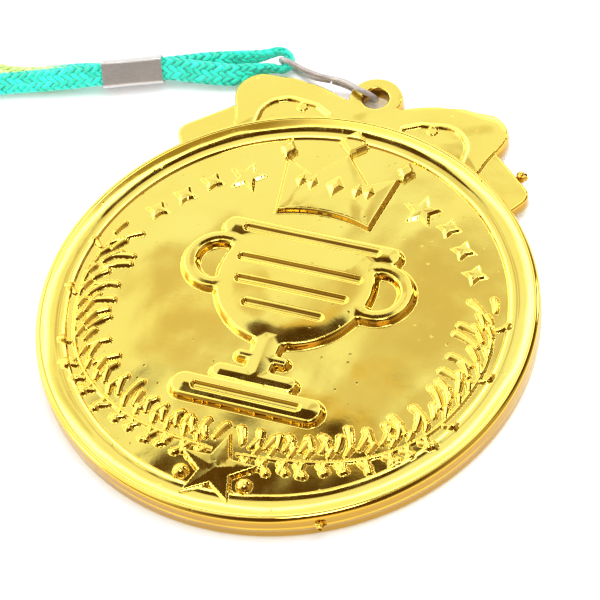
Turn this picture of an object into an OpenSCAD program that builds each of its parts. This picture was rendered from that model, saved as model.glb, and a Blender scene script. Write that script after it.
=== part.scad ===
// Prize medal lying on its back: a plated disc moulded in two halves, with a
// bow hanger, a wire link through its eyelet and a flat braided neck strap.
// Origin: centre of the disc's flat back. +Z out of the face, +Y to the eyelet.

/* [Disc] */
// Diameter of the disc
disc_d = 75; // [74:0.5:76]
// Thickness of the disc at its rim
disc_t = 4.6; // [4.4:0.1:5.2]
// Depth of the field below the rim
field_drop = 0.8; // [0.5:0.1:1]
// Radius of the step between the rim band and the field
step_r = 32.9; // [32:0.1:33.5]
// Thickness of the moulded walls
wall_t = 1.1; // [0.8:0.1:1.3]

/* [Bow and eyelet] */
// Height of the underside of the bow plate
bow_z = 1.3; // [1.3:0.1:1.4]
// Thickness of the bow plate at its loops
bow_t = 2.3; // [2:0.1:2.3]
// Distance from the disc's centre to the eyelet
eye_y = 43.1; // [43:0.1:43.5]
// Diameter of the eyelet hole
eye_hole_d = 4.2; // [4.2:0.1:4.6]
// Outside diameter of the eyelet
eye_d = 8.8; // [8.6:0.1:9]

/* [Relief] */
// Height of the cup above the field
cup_h = 1.1; // [0.6:0.1:1.2]
// Height of the crown above the field
crown_h = 0.8; // [0.5:0.1:1]
// Height of the stars and the laurel above the field
leaf_h = 0.6; // [0.4:0.1:0.8]
// Leaves along each branch of the laurel
leaf_count = 17; // [8:1:20]

/* [Wire link] */
// Diameter of the wire
wire_d = 0.9; // [0.7:0.05:0.9]
// Length between the centres of the link's two ends
link_len = 13.2; // [13:0.1:13.4]
// Radius of the wire's centreline around each end
link_end_r = 2.3; // [2.2:0.05:2.35]
// Half the distance between the strands where they pinch
link_waist = 0.5; // [0.48:0.02:0.6]

/* [Strap] */
// Width of the braid
strap_w = 3.8; // [3.6:0.1:4]
// Thickness of the braid
strap_t = 1.4; // [1.2:0.1:1.5]
// Length of the ferrule
ferrule_len = 9.8; // [9:0.2:10]
// Mean radius of the coil
coil_r = 21.5; // [20:0.5:24]

/* [Hidden] */
gold = "gold";
mint = "mediumspringgreen";
disc_r = disc_d / 2;
seam_z = disc_t / 2;
field_z = disc_t - field_drop;
band_z = disc_t - 0.45;
tail_z = bow_z + bow_t - 0.5;
edge_r = 0.8;
cavity_r = disc_r - 2.5;
peg_r = 1.2;
peg_gap = 0.1;
peg_ring_r = 24;
peg_angles = [45, 135, 225, 315];
boss_r = 2.6;
overlap = 0.4;

// Link: its angle in plan, how far its plane leans over, how far the centre of its
// near end stands off the middle of the eyelet, along it and to its side, and how
// steeply the strands slant in from a round end.
link_angle = -13.5;
link_lean = 62;
link_mid_z = 2.5;
link_off = 2.7;
link_side = 0.7;
link_slant = 18;
wire_steps = 14;
wire_sides = 12;

// Ferrule: middle, angle in plan and how far it is rolled onto its edge.
ferrule_at = [-40.8, 40, 2.75];
ferrule_angle = 20.7;
ferrule_roll = 49;
sheet_t = 0.35;

// Coil of the length that is put away: its middle and its height.
coil_at = [-106, 22];
coil_ring_w = 13.6;
coil_z = [0.45, 3.85];

// Stations along the strap: x, y, z, roll, angle in plan of the direction the
// roll starts from, and the width as a share of the braid's.
loop_route = [
    [-40.4, 39.55, 3.25, 49, 111, 1],
    [-35.9, 41.25, 3.25, 49, 111, 1],
    [-32.9, 42, 3, 46, 107, 1],
    [-30, 42.45, 2.7, 42, 103, 1],
    [-27.1, 43, 2.45, 42, 100, 1],
    [-24.4, 43.6, 2.3, 48, 98, 0.95],
    [-22.3, 44.9, 2.1, 64, 92, 0.82],
    [-20.6, 46, 1.95, 88, 86, 0.66],
    [-19.2, 46.7, 1.9, 106, 80, 0.57],
    [-18.1, 46.8, 1.85, 118, 76.5, 0.53],
    [-17, 46.95, 2.05, 118, 76.5, 0.53],
    [-16.25, 47.65, 2.45, 118, 76.5, 0.53],
    [-16.4, 48.5, 2.9, 118, 76.5, 0.53],
    [-17.3, 49.3, 3.25, 118, 76.5, 0.53],
    [-18.8, 49.4, 3.15, 112, 78, 0.55],
    [-20.9, 48.5, 2.75, 100, 82, 0.62],
    [-23.6, 47.4, 2.45, 78, 88, 0.8],
    [-26.6, 46.1, 2.3, 56, 96, 0.95],
    [-30, 44.9, 2.2, 48, 103, 1],
    [-33.3, 43.55, 2.2, 48, 108, 1],
    [-36.3, 42.3, 2.25, 49, 111, 1],
    [-40.8, 40.6, 2.25, 49, 111, 1]];
green_route = [
    [-40.7, 39.5, 3.25, 49, 111, 1],
    [-45.3, 37.75, 3.25, 49, 111, 1],
    [-50, 36.1, 3.0, 43, 109, 1],
    [-55, 34.7, 2.5, 35, 107, 1],
    [-60, 33.3, 2.1, 30, 107, 1],
    [-65, 31.6, 1.9, 20, 109, 1],
    [-70, 29, 1.6, 8, 118, 1],
    [-76, 24.4, 1.3, 0, 128, 1],
    [-81, 19, 1.3, 0, 136, 1],
    [-86, 12.4, 1.3, 0, 139, 1],
    [-91.5, 5.6, 1.3, 0, 134, 1],
    [-98.5, -2.2, 1.3, 0, 121, 1]];
yellow_route = [
    [-41.2, 40.45, 2.25, 49, 111, 1],
    [-45.7, 38.75, 2.25, 49, 111, 1],
    [-50, 37.9, 1.9, 36, 106, 1],
    [-55, 36.9, 1.3, 16, 101, 1],
    [-60, 36.2, 0.8, 2, 96, 1],
    [-66, 36.2, 0.8, 0, 86, 1],
    [-73, 38, 0.8, 0, 72, 1],
    [-80, 41.2, 0.9, 0, 64, 1],
    [-87, 44.6, 1.4, 0, 65, 1],
    [-95, 47.4, 2.3, 0, 75, 1],
    [-103, 48.3, 3.0, 0, 88, 1]];

// --- Shapes shared by the parts --------------------------------------------

function arc(at, r, a, b, n) =
    [for (i = [0:n]) at + r * [cos(a + (b - a) * i / n), sin(a + (b - a) * i / n)]];
function star(tips, r, inner) =
    [for (i = [0:2 * tips - 1]) let (a = 90 + 180 * i / tips, q = i % 2 == 0 ? r : inner)
        [q * cos(a), q * sin(a)]];
function unit(v) = v / norm(v);
function plan(angle, length) = [length * cos(angle), length * sin(angle), 0];

module both_sides() {
    children();
    mirror([1, 0, 0]) children();
}

module bar(length, width) {
    square([length - width, width], center = true);
    for (side = [-1, 1]) translate([side * (length - width) / 2, 0]) circle(d = width, $fn = 48);
}

module rounded(w, h, r) {
    square([w - 2 * r, h], center = true);
    square([w, h - 2 * r], center = true);
    for (x = [-1, 1], y = [-1, 1]) translate([x * (w / 2 - r), y * (h / 2 - r)]) circle(r = r, $fn = 32);
}

module lens(length, width) {
    r = (length * length + width * width) / (4 * width);
    intersection() {
        translate([0, r - width / 2]) circle(r = r, $fn = 64);
        translate([0, width / 2 - r]) circle(r = r, $fn = 64);
    }
}

// --- Bow hanger -------------------------------------------------------------

module bow_loop_2d() {
    polygon(concat([[0, 30], [0, 42], [4.6, 42], [10.6, 44]], arc([18, 39.7], 4.7, 98, 0, 12),
        [[21.4, 36.4], [20.3, 32]]));
}

module bow_tail_2d() {
    polygon(concat([[10, 30], [21, 37.5]], arc([26.4, 29.6], 2.3, 45, -40, 8), [[26.8, 26], [20, 20]]));
}

module bow_opening_2d() {
    polygon(concat([[6.2, 37.9]], arc([12.6, 35.2], 4.5, 105, 10, 8), [[16.9, 30], [6.2, 30]]));
}

module bow_half(bottom, loop_top, tail_top) {
    translate([0, 0, bottom]) {
        linear_extrude(loop_top - bottom) both_sides() bow_loop_2d();
        linear_extrude(tail_top - bottom) both_sides() bow_tail_2d();
        translate([0, eye_y, 0]) cylinder(d = eye_d, h = loop_top - bottom, $fn = 96);
    }
}

module outside_disc() {
    difference() {
        children();
        translate([0, 0, -1]) cylinder(r = disc_r - overlap, h = disc_t + 2, $fn = 180);
    }
}

module eyelet_bore() {
    translate([0, eye_y, -1]) cylinder(d = eye_hole_d, h = disc_t + 2, $fn = 96);
}

module bow_front() {
    top = bow_z + bow_t;
    outside_disc() difference() {
        bow_half(seam_z, top, tail_z);
        translate([0, 0, tail_z]) linear_extrude(bow_t) both_sides() bow_opening_2d();
        eyelet_bore();
    }
    both_sides() translate([10.8, 38.6, tail_z - 0.3]) cylinder(d = 1.6, h = 0.6, $fn = 32);
}

module bow_back() {
    outside_disc() difference() {
        bow_half(bow_z, seam_z, seam_z);
        eyelet_bore();
    }
}

// --- Relief on the face -----------------------------------------------------

module crown_2d() {
    arch_r = 21.3;
    difference() {
        polygon([[-7.6, 16.4], [-9.3, 27.6], [-4.6, 25.2], [0, 30.4], [4.6, 25.2], [9.3, 27.6], [7.6, 16.4]]);
        translate([0, 17.9 - arch_r]) circle(r = arch_r, $fn = 180);
    }
}

module diamond_2d(w, h) {
    polygon([[-w, 0], [0, h], [w, 0], [0, -h]]);
}

module crown() {
    linear_extrude(crown_h) crown_2d();
    linear_extrude(crown_h + 0.2) {
        translate([0, 32.4]) diamond_2d(2.4, 2.5);
        both_sides() translate([9.6, 29]) diamond_2d(1.4, 1.9);
        translate([0, 23.2]) diamond_2d(1.3, 1.9);
        both_sides() for (x = [3.5, 5.5]) translate([x, 23.2]) diamond_2d(0.8, 1.4);
    }
}

module cup_2d() {
    translate([0, 12.2]) bar(29, 4.4);
    polygon(concat([[12.4, 12]], arc([0, 4.5], 12.4, 0, -180, 32), [[-12.4, 12]]));
    translate([-2.4, -15]) square([4.8, 10]);
    translate([0, -10.2]) bar(9, 2.4);
    translate([0, -13.8]) bar(14, 3.6);
    translate([0, -17.3]) bar(24, 5);
}

module cup_handle_2d() {
    difference() {
        translate([12.6, 5.4]) circle(r = 5.8, $fn = 96);
        translate([12.6, 5.4]) circle(r = 2.9, $fn = 96);
    }
}

module cup_grooves_2d() {
    translate([0, 12.2]) bar(22, 1.4);
    translate([0, 6.6]) bar(20, 1.4);
    translate([0, 2.6]) bar(18, 1.4);
    translate([0, -1.4]) bar(13, 1.4);
    translate([0, -17.3]) bar(17, 1.4);
}

module cup() {
    difference() {
        linear_extrude(cup_h) {
            cup_2d();
            both_sides() cup_handle_2d();
        }
        translate([0, 0, cup_h - 0.5]) linear_extrude(1) cup_grooves_2d();
    }
}

// Centreline of one laurel branch, at an angle from the bottom of the disc.
function stem_r(a) = 27.5 + 3.8 * min(1, a / 60);
function stem(a) = stem_r(a) * [sin(a), -cos(a)];

module laurel_2d() {
    first = 14;
    last = 104;
    for (i = [0:leaf_count - 1]) {
        a = first + (last - first) * i / (leaf_count - 1);
        translate(stem(a)) rotate(a + 55) translate([2.4, 0]) lens(4.6, 1.5);
        translate(stem(a + 2)) rotate(a - 45) translate([1.6, 0]) lens(3.2, 1.1);
    }
}

module small_relief() {
    linear_extrude(leaf_h) {
        both_sides() laurel_2d();
        both_sides() translate([14.15, 22.3]) polygon(star(5, 2.9, 1.25));
        both_sides() for (p = [[19.1, 20.1], [22.4, 16.5], [25.4, 12.6]])
            translate(p) polygon(star(4, 1.6, 0.8));
    }
    linear_extrude(leaf_h + 0.3) {
        translate([0, -29.8]) polygon(star(5, 6.6, 2.7));
        both_sides() translate([4.8, -31.2]) circle(r = 1.1, $fn = 32);
    }
}

// --- Shells -----------------------------------------------------------------

module gate_mark(z, h) {
    for (p = [[disc_r, -63.5], [42.6, 51.6]])
        rotate(p[1]) translate([p[0] - 0.5, 0, z]) cylinder(r = 1, h = h, $fn = 32);
}

module disc_front() {
    rotate_extrude($fn = 180) polygon(concat([[0, seam_z], [disc_r, seam_z]],
        arc([disc_r - edge_r, disc_t - edge_r], edge_r, 0, 90, 6),
        [[disc_r - 1.8, disc_t - 0.05], [disc_r - 3, band_z], [step_r + 0.1, band_z],
            [step_r - 0.1, field_z], [0, field_z]]));
}

module front_shell() {
    color(gold) {
        difference() {
            disc_front();
            translate([0, 0, seam_z - 1]) cylinder(r = cavity_r, h = field_z - wall_t - seam_z + 1, $fn = 180);
        }
        for (a = peg_angles) rotate(a) translate([peg_ring_r, 0, seam_z - 1])
            cylinder(r = peg_r, h = field_z - wall_t - seam_z + 1.2, $fn = 32);
        bow_front();
        gate_mark(seam_z, 0.9);
        translate([0, 0, field_z]) {
            crown();
            cup();
            small_relief();
        }
    }
}

module back_shell() {
    color(gold) {
        difference() {
            union() {
                difference() {
                    rotate_extrude($fn = 180) polygon(concat([[0, 0]],
                        arc([disc_r - edge_r, edge_r], edge_r, -90, 0, 6),
                        [[disc_r, seam_z], [0, seam_z]]));
                    translate([0, 0, wall_t]) cylinder(r = cavity_r, h = disc_t, $fn = 180);
                }
                for (a = peg_angles) rotate(a) translate([peg_ring_r, 0, 0])
                    cylinder(r = boss_r, h = seam_z, $fn = 48);
            }
            for (a = peg_angles) rotate(a) translate([peg_ring_r, 0, seam_z - 1.1])
                cylinder(r = peg_r + peg_gap, h = disc_t, $fn = 48);
        }
        bow_back();
        gate_mark(seam_z - 0.7, 0.7);
    }
}

// --- Wire link --------------------------------------------------------------

// The wire's closed path, in a plane with x along the link and y across it: each
// round end, and between the ends two strands that slant in and run side by side.
function wire_path() = let (
        reach = (link_end_r * cos(link_slant) - link_waist) / sin(link_slant),
        neck = link_end_r * sin(link_slant) + reach * cos(link_slant),
        sweep = 180 + 2 * link_slant)
    concat(
        [for (i = [0:wire_steps]) let (a = i * sweep / wire_steps - 90 - link_slant)
            [link_end_r * cos(a), link_end_r * sin(a)]],
        [[-neck, link_waist], [neck - link_len, link_waist]],
        [for (i = [0:wire_steps]) let (a = i * sweep / wire_steps + 90 - link_slant)
            [link_end_r * cos(a) - link_len, link_end_r * sin(a)]],
        [[neck - link_len, -link_waist], [-neck, -link_waist]]);

// Points round the wire at one station, on the plane half way between its headings.
function wire_ring(path, i) = let (
        last = len(path) - 1,
        before = unit(path[i] - path[i == 0 ? last : i - 1]),
        after = unit(path[i == last ? 0 : i + 1] - path[i]),
        ahead = unit(before + after),
        side = [-ahead[1], ahead[0]] / (ahead * before))
    [for (k = [0:wire_sides - 1]) let (
            a = k * 360 / wire_sides,
            at = path[i] + wire_d / 2 * cos(a) * side)
        [at[0], at[1], wire_d / 2 * sin(a)]];

module wire_link() {
    path = wire_path();
    count = len(path);
    n = wire_sides;
    color("lightgray") translate([0, eye_y + link_side, link_mid_z]) rotate([0, 0, link_angle])
        rotate([180 - link_lean, 0, 0]) translate([-link_off, 0, 0]) polyhedron(
            points = [for (i = [0:count - 1]) each wire_ring(path, i)],
            faces = [for (i = [0:count - 1]) for (k = [0:n - 1]) let (
                a = i * n + k,
                b = i * n + (k + 1) % n,
                c = (i + 1) % count * n + k,
                d = (i + 1) % count * n + (k + 1) % n)
                each [[b, a, c], [b, c, d]]]);
}

// --- Strap ------------------------------------------------------------------

// Outline of the braid's section, flat with rounded edges.
function section(w, t) = [for (s = [-1, 1]) each [[-s * w * 0.32, -s * t / 2], [s * w * 0.32, -s * t / 2],
    [s * w / 2, -s * t * 0.22], [s * w / 2, s * t * 0.22]]];

function ring(route, i) = let (
        p = route[i],
        last = len(route) - 1,
        from = route[max(0, i - 1)],
        to = route[min(last, i + 1)],
        along = unit([to[0] - from[0], to[1] - from[1], to[2] - from[2]]),
        wanted = cos(p[3]) * plan(p[4], 1) + sin(p[3]) * [0, 0, 1],
        across = unit(wanted - (wanted * along) * along),
        up = cross(along, across))
    [for (q = section(strap_w * p[5], strap_t)) [p[0], p[1], p[2]] + q[0] * across + q[1] * up];

module tube(route) {
    n = 8;
    last = len(route) - 1;
    polyhedron(
        points = [for (i = [0:last]) each ring(route, i)],
        faces = concat([[for (k = [0:n - 1]) k]], [[for (k = [0:n - 1]) last * n + n - 1 - k]],
            [for (i = [0:last - 1]) for (k = [0:n - 1]) let (a = i * n + k, b = i * n + (k + 1) % n)
                each [[b, a, a + n], [b, a + n, b + n]]]));
}

module strap_ferrule() {
    inner_w = strap_w + 0.1;
    inner_t = 2 * strap_t + 0.2;
    corner_r = 0.35;
    color("gray") translate(ferrule_at) rotate([0, 0, ferrule_angle]) rotate([ferrule_roll, 0, 0])
        rotate([90, 0, 90]) linear_extrude(ferrule_len, center = true) difference() {
            rounded(inner_w + 2 * sheet_t, inner_t + 2 * sheet_t, corner_r + sheet_t);
            rounded(inner_w, inner_t, corner_r);
        }
}

module strap_coil() {
    color(mint) translate([coil_at[0], coil_at[1], coil_z[0]]) rotate_extrude($fn = 120)
        translate([coil_r - coil_ring_w / 2, 0]) square([coil_ring_w, coil_z[1] - coil_z[0]]);
}

module strap_tie() {
    gap = 0.1;
    side_gap = 0.3;
    band = 0.35;
    wide = 4;
    in_w = coil_ring_w + 2 * side_gap;
    in_h = coil_z[1] - coil_z[0] + 2 * gap;
    color("white") translate([coil_at[0] - coil_r, coil_at[1], coil_z[0] - gap + in_h / 2])
        rotate([90, 0, 0]) linear_extrude(wide, center = true) difference() {
            square([in_w + 2 * band, in_h + 2 * band], center = true);
            square([in_w, in_h], center = true);
        }
}

front_shell();
back_shell();
wire_link();
strap_ferrule();
color(mint) tube(loop_route);  // strap_loop
color(mint) tube(green_route);  // strap_leg_green
color("yellowgreen") tube(yellow_route);  // strap_leg_yellow
strap_coil();
strap_tie();
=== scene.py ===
"""Looks of the prize medal: plated shells with their relief, wire link, ferrule and braided neck strap."""

import math

import bpy
import numpy as np
from mathutils import Matrix, Quaternion, Vector
from mathutils.geometry import delaunay_2d_cdt


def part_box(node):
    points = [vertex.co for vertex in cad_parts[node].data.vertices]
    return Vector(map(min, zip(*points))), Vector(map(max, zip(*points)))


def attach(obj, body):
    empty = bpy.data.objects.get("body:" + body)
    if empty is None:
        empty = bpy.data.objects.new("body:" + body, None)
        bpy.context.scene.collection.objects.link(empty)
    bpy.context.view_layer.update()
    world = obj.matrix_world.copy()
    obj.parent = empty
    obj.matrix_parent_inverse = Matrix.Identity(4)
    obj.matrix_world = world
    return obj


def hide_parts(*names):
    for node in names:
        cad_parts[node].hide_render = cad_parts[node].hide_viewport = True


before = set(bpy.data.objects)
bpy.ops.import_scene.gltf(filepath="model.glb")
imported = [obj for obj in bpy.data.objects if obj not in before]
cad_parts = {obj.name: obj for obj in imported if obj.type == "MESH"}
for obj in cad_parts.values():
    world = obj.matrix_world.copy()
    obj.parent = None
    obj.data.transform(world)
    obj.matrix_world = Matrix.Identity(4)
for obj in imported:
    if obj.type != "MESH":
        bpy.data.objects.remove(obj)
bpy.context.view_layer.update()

# Shapes are worked out in millimetres and turned into metres when a mesh is made.
MM = 0.001
TAU = 2 * math.pi

# --- Sizes, from the frame and from the same driving dimensions as the part ---

DISC_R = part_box("back_shell")[1].x / MM
SEAM_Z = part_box("back_shell")[1].z / MM
DISC_T = 2 * SEAM_Z
FIELD_Z = DISC_T - 0.8
BAND_Z = DISC_T - 0.45
EDGE_R = 0.8
STEP_R = 32.9
CAVITY_R = DISC_R - 2.5
CEILING_Z = FIELD_Z - 1.1
FLOOR_Z = 1.1
PEG_RING_R, PEG_R, BOSS_R = 24, 1.2, 2.6
BOW_Z = 1.3
LOOP_Z = BOW_Z + 2.3
TAIL_Z = LOOP_Z - 0.5
EYE, EYE_R, EYE_HOLE_R = np.array([0, 43.1]), 4.4, 2.1
AROUND = 384  # points round the disc
FACE_PITCH = 0.17  # of the grid the relief is taken from
BEAD_AT, BEAD_R = (4.8, -31.2), 1.15
GRID_R, RING_R = 32.5, 36.6  # the face's points come from the grid inside, from rings outside

BRAID_W, BRAID_T = 3.8, 1.4
COIL_AT = np.array([-106, 22, 0])
COIL_OUTER, COIL_INNER = 26.2, 16.75
COIL_LOW_Z, COIL_HIGH_Z = 1.25, 3.05
COIL_TURNS = 4 + 203.5 / 360
COIL_START = math.radians(-73)
FERRULE_AT = Vector((-40.8, 40, 2.75))
FERRULE_ANGLE, FERRULE_ROLL = math.radians(20.7), math.radians(49)
FERRULE_LEN = 9.8
NECK_DYE = 330, 420, 742, 749  # along the braid: lime begins, is full, fades, is gone


# --- Camera ---

CAMERA_AIM = 1.9, 1.19
CAMERA_DIRECTION = -63.07, 52.12  # azimuth and elevation
CAMERA_ROLL = -9.79
CAMERA_DISTANCE = 324.7


def towards(azimuth, elevation):
    """Unit vector at an azimuth and an elevation in degrees."""
    a, e = math.radians(azimuth), math.radians(elevation)
    return Vector((math.cos(e) * math.cos(a), math.cos(e) * math.sin(a), math.sin(e)))


def place_facing(name, data, at, back, roll=0.0):
    """Adds a camera or a lamp that looks along the opposite of back."""
    made = bpy.data.objects.new(name, data)
    made.location = at
    made.rotation_mode = "QUATERNION"
    made.rotation_quaternion = (-back).to_track_quat("-Z", "Y") @ Quaternion((0, 0, 1), roll)
    bpy.context.scene.collection.objects.link(made)
    return made


def make_camera():
    """Looks down on the face from the lower right, a little rolled, with a long lens."""
    data = bpy.data.cameras.new("camera")
    data.lens = 132
    data.sensor_width = 36
    data.clip_start = 0.01
    back = towards(*CAMERA_DIRECTION)
    at = (Vector((*CAMERA_AIM, DISC_T)) + back * CAMERA_DISTANCE) * MM
    camera = place_facing("camera", data, at, back, math.radians(CAMERA_ROLL))
    bpy.context.scene.camera = camera


# --- Meshes ---

def unit(v):
    return v / np.maximum(np.linalg.norm(v, axis=-1, keepdims=True), 1e-12)


class Build:
    """Collects points, in millimetres, and faces of one mesh."""

    def __init__(self):
        self.points, self.faces, self.count = [], [], 0
        self.shaded = []  # (first face, faces, first point, normals) of triangles with known normals

    def add(self, points, faces):
        points = np.asarray(points, float).reshape(-1, 3)
        self.points.append(points)
        self.faces += [[int(i) + self.count for i in f] for f in faces]
        self.count += len(points)

    def grid(self, rows, capped=False):
        """Joins rings of points, each an array of the same length, into a skin."""
        n, last = len(rows[0]), (len(rows) - 1) * len(rows[0])
        faces = [
            (a + k, a + (k + 1) % n, a + n + (k + 1) % n, a + n + k)
            for a in range(0, last, n) for k in range(n)
        ]
        if capped:
            faces += [range(n - 1, -1, -1), range(last, last + n)]
        self.add(np.concatenate(rows), faces)

    def object(self, name, material, smooth=True, sharp=None):
        mesh = bpy.data.meshes.new(name)
        mesh.from_pydata((np.concatenate(self.points) * MM).tolist(), [], self.faces)
        mesh.materials.append(material)
        if smooth:
            mesh.shade_smooth()
        if sharp is not None:
            mesh.set_sharp_from_angle(angle=math.radians(sharp))
        if self.shaded:
            use_known_normals(mesh, self.shaded)
        mesh.validate()
        made = bpy.data.objects.new(name, mesh)
        bpy.context.scene.collection.objects.link(made)
        return made


def use_known_normals(mesh, shaded):
    """Gives the triangles listed the normals of the surface they were cut from."""
    corner = np.empty(len(mesh.loops) * 3, np.float32)
    mesh.corner_normals.foreach_get("vector", corner)
    corner = corner.reshape(-1, 3)
    point, start = np.empty(len(mesh.loops), np.int32), np.empty(len(mesh.polygons), np.int32)
    mesh.loops.foreach_get("vertex_index", point)
    mesh.polygons.foreach_get("loop_start", start)
    for first, faces, base, normals in shaded:
        loops = slice(start[first], start[first] + 3 * faces)
        corner[loops] = normals[point[loops] - base]
    mesh.normals_split_custom_set(corner.tolist())


def slopes(height, at):
    """Unit normals of a height map at some points."""
    step = 0.05
    dx, dy = np.array([step, 0]), np.array([0, step])
    gx = (height(at + dx) - height(at - dx)) / (2 * step)
    gy = (height(at + dy) - height(at - dy)) / (2 * step)
    return unit(np.column_stack([-gx, -gy, np.ones(len(at))])).astype(np.float32)


def circle(count):
    """Unit vectors evenly round a circle."""
    a = np.arange(count) * TAU / count
    return np.stack([np.cos(a), np.sin(a)], 1)


def circle_rows(profile, count):
    """A ring of points for each (radius, height) of a profile."""
    return [np.column_stack([r * circle(count), np.full(count, z)]) for r, z in profile]


def strips(levels):
    """Quads between each ring of point numbers and the next one down."""
    faces = []
    for upper, lower in zip(levels, levels[1:]):
        faces += zip(np.roll(upper, -1), upper, lower, np.roll(lower, -1))
    return faces


def noise1(x, seed):
    """Smooth noise on an array of positions, about -1 to 1, that repeats every 1."""
    rng = np.random.default_rng(seed)
    out = np.zeros_like(x, float)
    for octave in range(4):
        for _ in range(3):
            waves = rng.integers(2 ** (octave + 1), 2 ** (octave + 2))
            out += np.sin(TAU * (waves * x + rng.random())) / (octave + 1.5)
    return out / 3


def noise2(p, seed, wavelength):
    """Smooth plane noise, about -1 to 1, at one wavelength in millimetres."""
    rng = np.random.default_rng(seed)
    out, terms = np.zeros(len(p)), 24
    for _ in range(terms):
        a, phase, stretch = rng.random() * TAU, rng.random() * TAU, 0.6 + 0.8 * rng.random()
        k = TAU / (wavelength * stretch)
        out += np.sin(k * (p[:, 0] * math.cos(a) + p[:, 1] * math.sin(a)) + phase)
    return out / math.sqrt(terms) / 1.3


# --- Shapes in plan: signed distances, negative inside, in millimetres ---

def fold(p):
    """The points with the left half laid over the right."""
    return np.stack([np.abs(p[:, 0]), p[:, 1]], 1)


def d_circle(p, at, r):
    return np.hypot(p[:, 0] - at[0], p[:, 1] - at[1]) - r


def d_bar(p, at, length, width):
    """A level bar with round ends."""
    x = np.abs(p[:, 0] - at[0]) - (length - width) / 2
    return np.hypot(np.maximum(x, 0), p[:, 1] - at[1]) - width / 2


def d_box(p, at, w, h):
    x, y = np.abs(p[:, 0] - at[0]) - w / 2, np.abs(p[:, 1] - at[1]) - h / 2
    return np.hypot(np.maximum(x, 0), np.maximum(y, 0)) + np.minimum(np.maximum(x, y), 0)


def d_poly(p, corners):
    c = np.asarray(corners, float)
    best, inside = np.full(len(p), 1e9), np.zeros(len(p), bool)
    for a, b in zip(c, np.roll(c, -1, axis=0)):
        e, w = b - a, p - a
        t = np.clip(w @ e / (e @ e), 0, 1)
        best = np.minimum(best, ((w - t[:, None] * e) ** 2).sum(1))
        if e[1] != 0:
            crosses = (a[1] > p[:, 1]) != (b[1] > p[:, 1])
            inside ^= crosses & (p[:, 0] < a[0] + (p[:, 1] - a[1]) * e[0] / e[1])
    return np.where(inside, -1, 1) * np.sqrt(best)


def melt(a, b, k):
    """Union of two distances with a fillet of about k between them."""
    t = np.clip(0.5 + 0.5 * (b - a) / k, 0, 1)
    return b + (a - b) * t - k * t * (1 - t)


def ramp(t):
    t = np.clip(t, 0, 1)
    return t * t * (3 - 2 * t)


def bevel(d, height, edge):
    """Height of a raised shape whose wall is eased at its foot and more widely at its top."""
    t = np.clip(-d / edge, 0, 1)
    foot = 0.16
    rise = np.where(t < foot, t * t / (2 * foot), t - foot / 2) / (1 - foot / 2)
    return height * (1 - (1 - rise) ** 2.2)


def arc(at, r, start, end, n):
    a = np.radians(np.linspace(start, end, n + 1))
    return np.stack([at[0] + r * np.cos(a), at[1] + r * np.sin(a)], 1).tolist()


# --- Relief on the face ---

def rim_height(r):
    """Height of the plain disc: the field, the step, the dished band and the rounded lip."""
    dish_r = STEP_R + 1.1  # where the band is lowest
    x, wide, low = r - dish_r, DISC_R - EDGE_R - dish_r, BAND_Z - 0.04
    band = low + np.where(x > 0, (DISC_T - low) * np.clip(x / wide, 0, 1) ** 1.5, 0.06 * x**2)
    step = ramp((r - STEP_R + 0.16) / 0.32)
    over = np.clip(r - DISC_R + EDGE_R, 0, EDGE_R)
    lip = DISC_T - EDGE_R + np.sqrt(np.maximum(EDGE_R**2 - over**2, 0))
    return np.where(over > 0, lip, FIELD_Z + (band - FIELD_Z) * step)


CUP_GROOVES = ((12.2, 22), (6.6, 20), (2.6, 18), (-1.4, 13), (-17.3, 17))  # height on the face, length
GROOVE_W = 1.5


def d_cup(p):
    bowl = np.maximum(d_circle(p, (0, 4.5), 12.4), p[:, 1] - 12.4)
    d = melt(bowl, d_bar(p, (0, 12.2), 29, 4.4), 0.9)
    d = melt(d, np.abs(d_circle(p, (12.6, 5.4), 4.35)) - 1.45, 0.8)
    d = melt(d, d_box(p, (0, -10), 4.8, 11), 0.9)
    for y, length, width in ((-10.2, 9, 2.4), (-13.8, 14, 3.6), (-17.3, 24, 5)):
        d = melt(d, d_bar(p, (0, y), length, width), 0.5)
    return d


def cup_height(p):
    """A generic trophy cup, standing for the raised mark, with grooves across it."""
    d = d_cup(p)
    h = bevel(d, 1.1, 0.75) + 0.2 * (1 - np.exp(np.minimum(d + 0.6, 0) / 2.5))
    for y, length in CUP_GROOVES:
        h = h - 0.58 * bevel(d_bar(p, (0, y), length, GROOVE_W), 1, 0.6)
    return np.where(d < 0, np.maximum(h, 0), 0)


def d_crown(p):
    right = [(0, 30.4), (4.6, 25.2), (9.3, 27.6), (7.6, 16.4)]
    left = [(-x, y) for x, y in right[:0:-1]]
    arch_r = 21.3
    return np.maximum(d_poly(p, left + right), -d_circle(p, (0, 17.9 - arch_r), arch_r))


def crown_height(p):
    d = d_crown(p)
    h = bevel(d, 0.8, 0.5) + 0.1 * (1 - np.exp(np.minimum(d + 0.4, 0) / 2))
    h = h - 0.04 * np.exp(-((np.abs(p[:, 0]) - 4.6 + 0.3 * (p[:, 1] - 22)) / 1.1) ** 2) * ramp(-d)
    return np.where(d < 0, h, 0)


def gem_height(p, at, w, h, foot, height, bevel):
    """A raised diamond on an upright foot; with bevel 1 its facets meet in a point."""
    inside = 1 - np.abs(p[:, 0] - at[0]) / w - np.abs(p[:, 1] - at[1]) / h
    return np.where(inside > 0, foot + (height - foot) * np.clip(inside / bevel, 0, 1), 0)


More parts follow.
